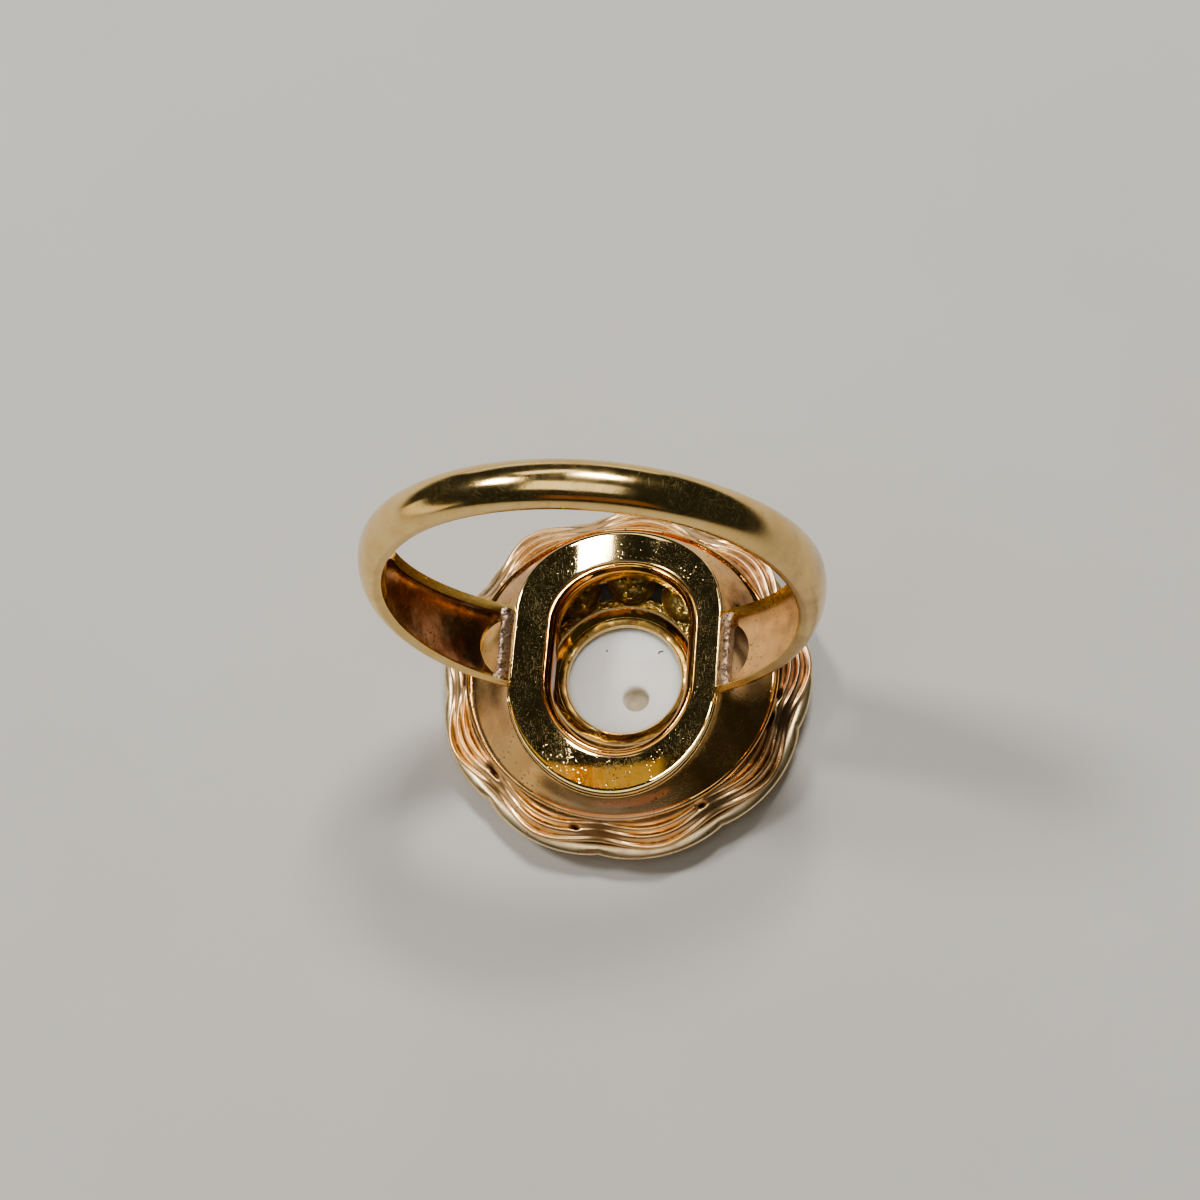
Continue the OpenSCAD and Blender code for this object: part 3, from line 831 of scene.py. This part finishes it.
# Pits near the notches, sunk and painted dark with painted shade: direction, radius and half its
# length in degrees
PITS = [
    (221.5, 7.34, 3.0), (257.6, 7.50, 1.5), (343, 7.14, 4.0), (353.5, 7.20, 1.6),
    (303, 7.30, 1.6), (21, 7.26, 2.0), (64, 7.30, 1.5), (108, 7.24, 2.2), (143, 7.32, 1.6),
    (184, 7.28, 2.4),
]
PIT_HALF_W, PIT_DEPTH = 0.1, 0.25


def petal_wave(a):
    """1 at the tip of a petal, 0 in the notch beside it."""
    return 0.5 + 0.5 * cos(PETALS * (a - PETAL_TURN))


def in_pit(a, r):
    """1 in the middle of a pit, 0 away from it."""
    return max(
        math.exp(-(((a - at + 180) % 360 - 180) / half) ** 4 - ((r - middle) / PIT_HALF_W) ** 2)
        for at, middle, half in PITS
    )


def ribbed_section(a):
    """Section as (radius, height, painted shade): over the ridges, round the rolled edge and back
    below.
    """
    u = petal_wave(a)
    deep = mix(GROOVE_SHALLOW, GROOVE_DEEP, u**0.8)
    trim = mix(TRIM, 0, 0.5 + 0.5 * sin(a)) * mix(0.5, 1, u)
    # The first and the last rows lie under the cup's rim and under the layer, and are painted dark
    # as shade
    line = [(6.7, 2.2, 1.0), (6.95, 2.22, 1.0)]
    for (tip, notch, z), (tip2, notch2, z2) in zip(RIDGES, RIDGES[1:]):
        for v in spread(0, 1, RIDGE_STEPS)[:-1]:
            fall = 1 - abs(math.cos(math.pi * v)) ** 1.3
            r = mix(mix(notch, tip, u), mix(notch2, tip2, u), v)
            r -= trim * smooth(TRIM_FROM, TRIM_TO, r)
            pit = in_pit(a, r)
            # Painted shade in the pits, and in the grooves toward the petal tips
            grime_and_shade = max(1.2 * pit, smooth(0.6, 1.0, fall) * mix(0.15, 0.85, u))
            line.append((r, mix(z, z2, v) - deep * fall - PIT_DEPTH * pit, grime_and_shade))
    tip, notch, z = RIDGES[-1]
    r = mix(notch, tip, u)
    r -= trim * smooth(TRIM_FROM, TRIM_TO, r)
    line += [(r, z, 0), (r + 0.035, z - 0.05, 0), (r + 0.035, z - 0.12, 0), (r, z - 0.19, 0.2)]
    line += [(r - 0.06, z - 0.24, 0.8), (r - 0.3, z - 0.3, 1), (6.7, z - 0.1, 1), (6.5, 2.0, 1)]
    return line


def make_ribbed_petals():
    """Nested crescents that fan out at the tip of a petal and close up in its notches."""
    lines = [ribbed_section(a) for a in PETAL_DIRECTIONS]
    skin = Skin()
    skin.loft(
        [[polar(a, r, z) for r, z, _ in line] for a, line in zip(PETAL_DIRECTIONS, lines)],
        joined=True,
        grime_and_shade=lambda i, j: lines[i][j][2],
    )
    skin.object("ribbed_petals", "shank_and_cup", "rose_gold", RIBBED_GOLD, crease=PETAL_CREASE)


# Smooth layer: radius in a notch and at a tip, and how high the crease in a notch stands
FRONT_NOTCH_R, FRONT_TIP_R, FRONT_CREASE_H = 8.3, 8.56, 0.3


def front_section(a):
    """Section as (radius, height): over the back, round the edge and along the face."""
    u = abs(cos(PETALS / 2 * (a - PETAL_TURN))) ** 0.7
    r, crease = mix(FRONT_NOTCH_R, FRONT_TIP_R, u), FRONT_CREASE_H * (1 - u)
    return softened([
        (5.1, 1.16), (5.7, 1.12), (6.2, 0.72), (6.8, 0.44 + 0.8 * crease),
        (7.3, 0.7 + 0.6 * crease), (7.55, 1.2), (7.8, 1.44), (8.1, 1.45),
        (r - 0.1, 1.33), (r - 0.01, 1.22), (r, 1.12), (r - 0.25, 0.7 + 0.4 * crease),
        (7.4, 0.12 + crease), (6.8, crease), (6.1, 0.3 + 0.7 * crease), (5.6, 0.78), (5.1, 0.9),
    ], 2)


def make_front_petals():
    """Smooth layer below the ribbed one, creased between its petals."""
    skin = Skin()
    rings = [[polar(a, r, z) for r, z in front_section(a)] for a in PETAL_DIRECTIONS]
    skin.loft(rings, joined=True)
    skin.object("smooth_petals", "front_petals", "rose_gold", FRONT_GOLD, crease=PETAL_CREASE)


# Rosette: radii, bottom and thickness of its hub
HUB_IN, HUB_OUT, HUB_Z, HUB_T = 3.04, 4.05, 1.42, 0.18
# Bottom, height and wall of a small petal, which is a dish
DISH_Z, DISH_H, DISH_WALL = 1.25, 0.5, 0.15
# Granules in a small petal: distance from its middle, direction from outward, and size
GRANULES = [
    (0.24, 70, 1.4), (0.28, 190, 0.75), (0.62, 20, 1), (0.6, 92, 0.8), (0.64, 155, 0.95),
    (0.6, 236, 0.8), (0.66, 300, 1.05), (0.38, 330, 0.6),
]
# Radius of a granule of size 1, and the further turn of the granules from petal to petal
GRANULE_R, GRANULE_TURN = 0.18, 31


def make_rosette():
    """Small dished petals with granules, on a thin hub."""
    r = SMALL_PETAL_R
    hub = [
        (HUB_IN, HUB_Z), (HUB_IN, HUB_Z + HUB_T), (HUB_OUT - 0.05, HUB_Z + HUB_T),
        (HUB_OUT, HUB_Z + HUB_T - 0.04), (HUB_OUT, HUB_Z),
    ]
    # Radius, height above DISH_Z and painted shade, which darkens the inside and the underside of
    # the dish
    dish = [
        (0.02, 0, 0.6), (0.66, 0.06, 0.6), (0.98, 0.18, 0.6), (1.15, 0.36, 0.5), (r, 0.46, 0.1),
        (r - 0.03, DISH_H, 0), (r - 0.07, 0.48, 0.1), (r - 0.14, 0.4, 0.3), (0.86, 0.27, 0.5),
        (0.62, 0.07 + DISH_WALL, 0.7), (0.3, 0.03 + DISH_WALL, 0.7), (0.02, DISH_WALL, 0.6),
    ]
    skin = Skin()
    skin.turned([(q, z, 0, 0) for q, z in hub], 96)
    for k in range(SMALL_PETALS):
        turn = ROSETTE_TURN + k * 360 / SMALL_PETALS
        middle = polar(turn, ROSETTE_R, 0)
        start = len(skin.points)
        skin.turned([(q, DISH_Z + z, grime_and_shade, 0) for q, z, grime_and_shade in dish], 48, middle)
        for reach, a, size in GRANULES:
            place = polar(turn + a + GRANULE_TURN * k, reach, DISH_Z + DISH_WALL + 0.08, middle)
            skin.ball(*place, GRANULE_R * size)
        skin.leaned(start, turn, ROSETTE_R - r, DISH_Z, ROSETTE_LEAN)
    skin.object("rosette", "inner_petals", "bright_gold", ROSETTE_GOLD)


# Collet: radius, height, painted shade, and mark of the face that follows. The painted shade
# darkens the wall below the bead round the stone, the low ring of the flange and its underside.
GOLD, RIM = 0, 1
COLLET_PROFILE = [
    (SEAT_R, 1.25, 1, GOLD), (BEAD_R + 0.02, 1.29, 1, GOLD), (BEAD_R, 1.36, 0.5, GOLD),
    (BEAD_R + 0.01, 1.45, 0, RIM), (BEAD_R + 0.035, 1.52, 0, RIM), (BEAD_R + 0.07, 1.54, 0, RIM),
    (BEAD_R + 0.105, 1.53, 0, GOLD), (2.72, 1.51, 0.8, GOLD), (2.84, 1.54, 0.7, GOLD),
    (2.95, 1.6, 0.4, GOLD), (3.1, 1.7, 0.1, GOLD), (3.24, 1.81, 0, GOLD), (3.34, 1.91, 0, RIM),
    (3.375, 1.965, 0, RIM), (3.4, 1.98, 0, RIM), (3.425, 1.965, 0, RIM), (3.45, 1.9, 0, GOLD),
    (3.4, 1.82, 0.4, GOLD), (3.15, 1.7, 0.6, GOLD), (3.0, 1.64, 0.8, GOLD), (3.0, 1.38, 0, GOLD),
    (3.62, 1.38, 0, GOLD), (3.66, 1.34, 0, GOLD), (3.66, 0.76, 0, GOLD), (3.6, 0.66, 0, GOLD),
    (3.36, 0.54, 0, GOLD), (3.25, 0.5, 0, GOLD), (3.18, 0.54, 0, GOLD), (3.17, 0.6, 0, GOLD),
    (3.34, 0.86, 0, GOLD), (3.34, 1.25, 0, GOLD),
]


def make_collet():
    """Turned collet: thin lip round the stone, dished flange, neck and folded bezel."""
    skin = Skin()
    skin.turned(COLLET_PROFILE, 144)
    skin.object("turned_collet", "collet", "bright_gold", COLLET_GOLD, RIM_GOLD)


# Stone: depth of its drill hole at the wall, and the heights of its girdle and of the lowest point
# of its domed front
DRILL_DEPTH = 0.4
GIRDLE_Z, DOME_Z = 0.84, 0.12


def make_stone():
    """White stone with a flat back, in which there is a drill hole, and a domed front."""
    def ring(middle, r, z):
        return [polar(a, r, z, middle) for a in full_turn(96)]

    home = Vector((0, 0))
    bottom = STONE_TOP - DRILL_DEPTH
    rings = [ring(DRILL_AT, DRILL_R * s, bottom - 0.14 * (1 - s)) for s in (0.03, 0.3, 0.6, 0.85)]
    rings += [ring(DRILL_AT, DRILL_R * 0.97, bottom + h) for h in (0.02, 0.1, 0.2, 0.3)]
    for out, down in ((0, 0.05), (0.015, 0.015), (0.04, 0)):
        rings.append(ring(DRILL_AT, DRILL_R + out, STONE_TOP - down))
    for u in spread(0, 1, 22)[1:]:
        r = mix(DRILL_R + 0.04, STONE_R - 0.1, u)
        rings.append(ring(DRILL_AT.lerp(home, u), r, STONE_TOP))
    rings += [ring(home, STONE_R - 0.03, STONE_TOP - 0.03), ring(home, STONE_R, STONE_TOP - 0.1)]
    dome_h = GIRDLE_Z - DOME_Z
    dome_r = (STONE_R**2 + dome_h**2) / (2 * dome_h)
    rings.append(ring(home, STONE_R, GIRDLE_Z))
    for r in spread(STONE_R, 0.05, 16)[1:]:
        rings.append(ring(home, r, DOME_Z + dome_r - math.sqrt(dome_r**2 - r * r)))
    skin = Skin()
    skin.loft(rings)
    skin.object("stone_white", "stone", "white_stone", WHITE_STONE)


make_band()
make_solder()
make_base_plate()
make_cup()
make_ribbed_petals()
make_front_petals()
make_rosette()
make_collet()
make_stone()

# Floor, world and lights
FLOOR_HALF = 1500
LAMP_DISTANCE, LAMP_AIM = 400, Vector((0, 0, 5))
WORLD_COLOUR = (0.028, 0.03, 0.026, 1)


def make_floor():
    x = FLOOR_HALF * MM
    mesh = bpy.data.meshes.new("floor")
    mesh.from_pydata([(-x, -x, 0), (x, -x, 0), (x, x, 0), (-x, x, 0)], [], [[0, 1, 2, 3]])
    s = Shader("floor")
    colour = s.blend(s.noise(18, detail=3), (0.60, 0.58, 0.56), (0.66, 0.645, 0.625))
    mesh.materials.append(s.finished(colour, 0.9))
    add_to_scene("floor", mesh)


def make_world():
    """A dark surround, so that the lamps alone show in the metal."""
    world = bpy.data.worlds.new("world")
    bpy.context.scene.world = world
    world.use_nodes = True
    background = world.node_tree.nodes["Background"]
    background.inputs["Color"].default_value = WORLD_COLOUR
    background.inputs["Strength"].default_value = 1.0


def softbox(name, azimuth, elevation, width, height, brightness, colour=(1, 1, 1)):
    """Area light that faces the head. Azimuth in degrees from +X, sides in mm. Brightness is what
    a mirror would show, where the floor shows about 0.6."""
    data = bpy.data.lights.new(name, "AREA")
    data.shape, data.size, data.size_y = "RECTANGLE", width * MM, height * MM
    data.energy, data.color = brightness * math.pi * data.size * data.size_y, colour
    light = add_to_scene(name, data)
    at = Vector((cos(elevation) * cos(azimuth), cos(elevation) * sin(azimuth), sin(elevation)))
    light.location = (at * LAMP_DISTANCE + LAMP_AIM) * MM
    light.rotation_mode = "QUATERNION"
    light.rotation_quaternion = (-at).to_track_quat("-Z", "Y")


make_floor()
make_world()
# The white lights on the plate and the palm, and the band between the two on the palm
softbox("lamp_back", 72.5, 60.7, 108, 66, 38, (1, 0.99, 0.95))
softbox("lamp_left", 163, 52, 80, 80, 30, (1, 0.98, 0.93))
softbox("lamp_bridge", 112, 51, 180, 64, 1.8, (1, 0.98, 0.9))
# The soft light on the whole
softbox("lamp_front", -100, 74, 300, 220, 1.3, (1, 0.97, 0.9))
# Low banks that the cup, the petals and the insides reflect
softbox("bank_left", -162, 7, 360, 90, 0.9, (1, 0.9, 0.75))
softbox("bank_front", -85, 24, 260, 130, 0.2, (1, 0.42, 0.24))
softbox("bank_back", 100, 8, 420, 100, 0.8)
bpy.context.scene.view_settings.look = "AgX - Medium High Contrast"
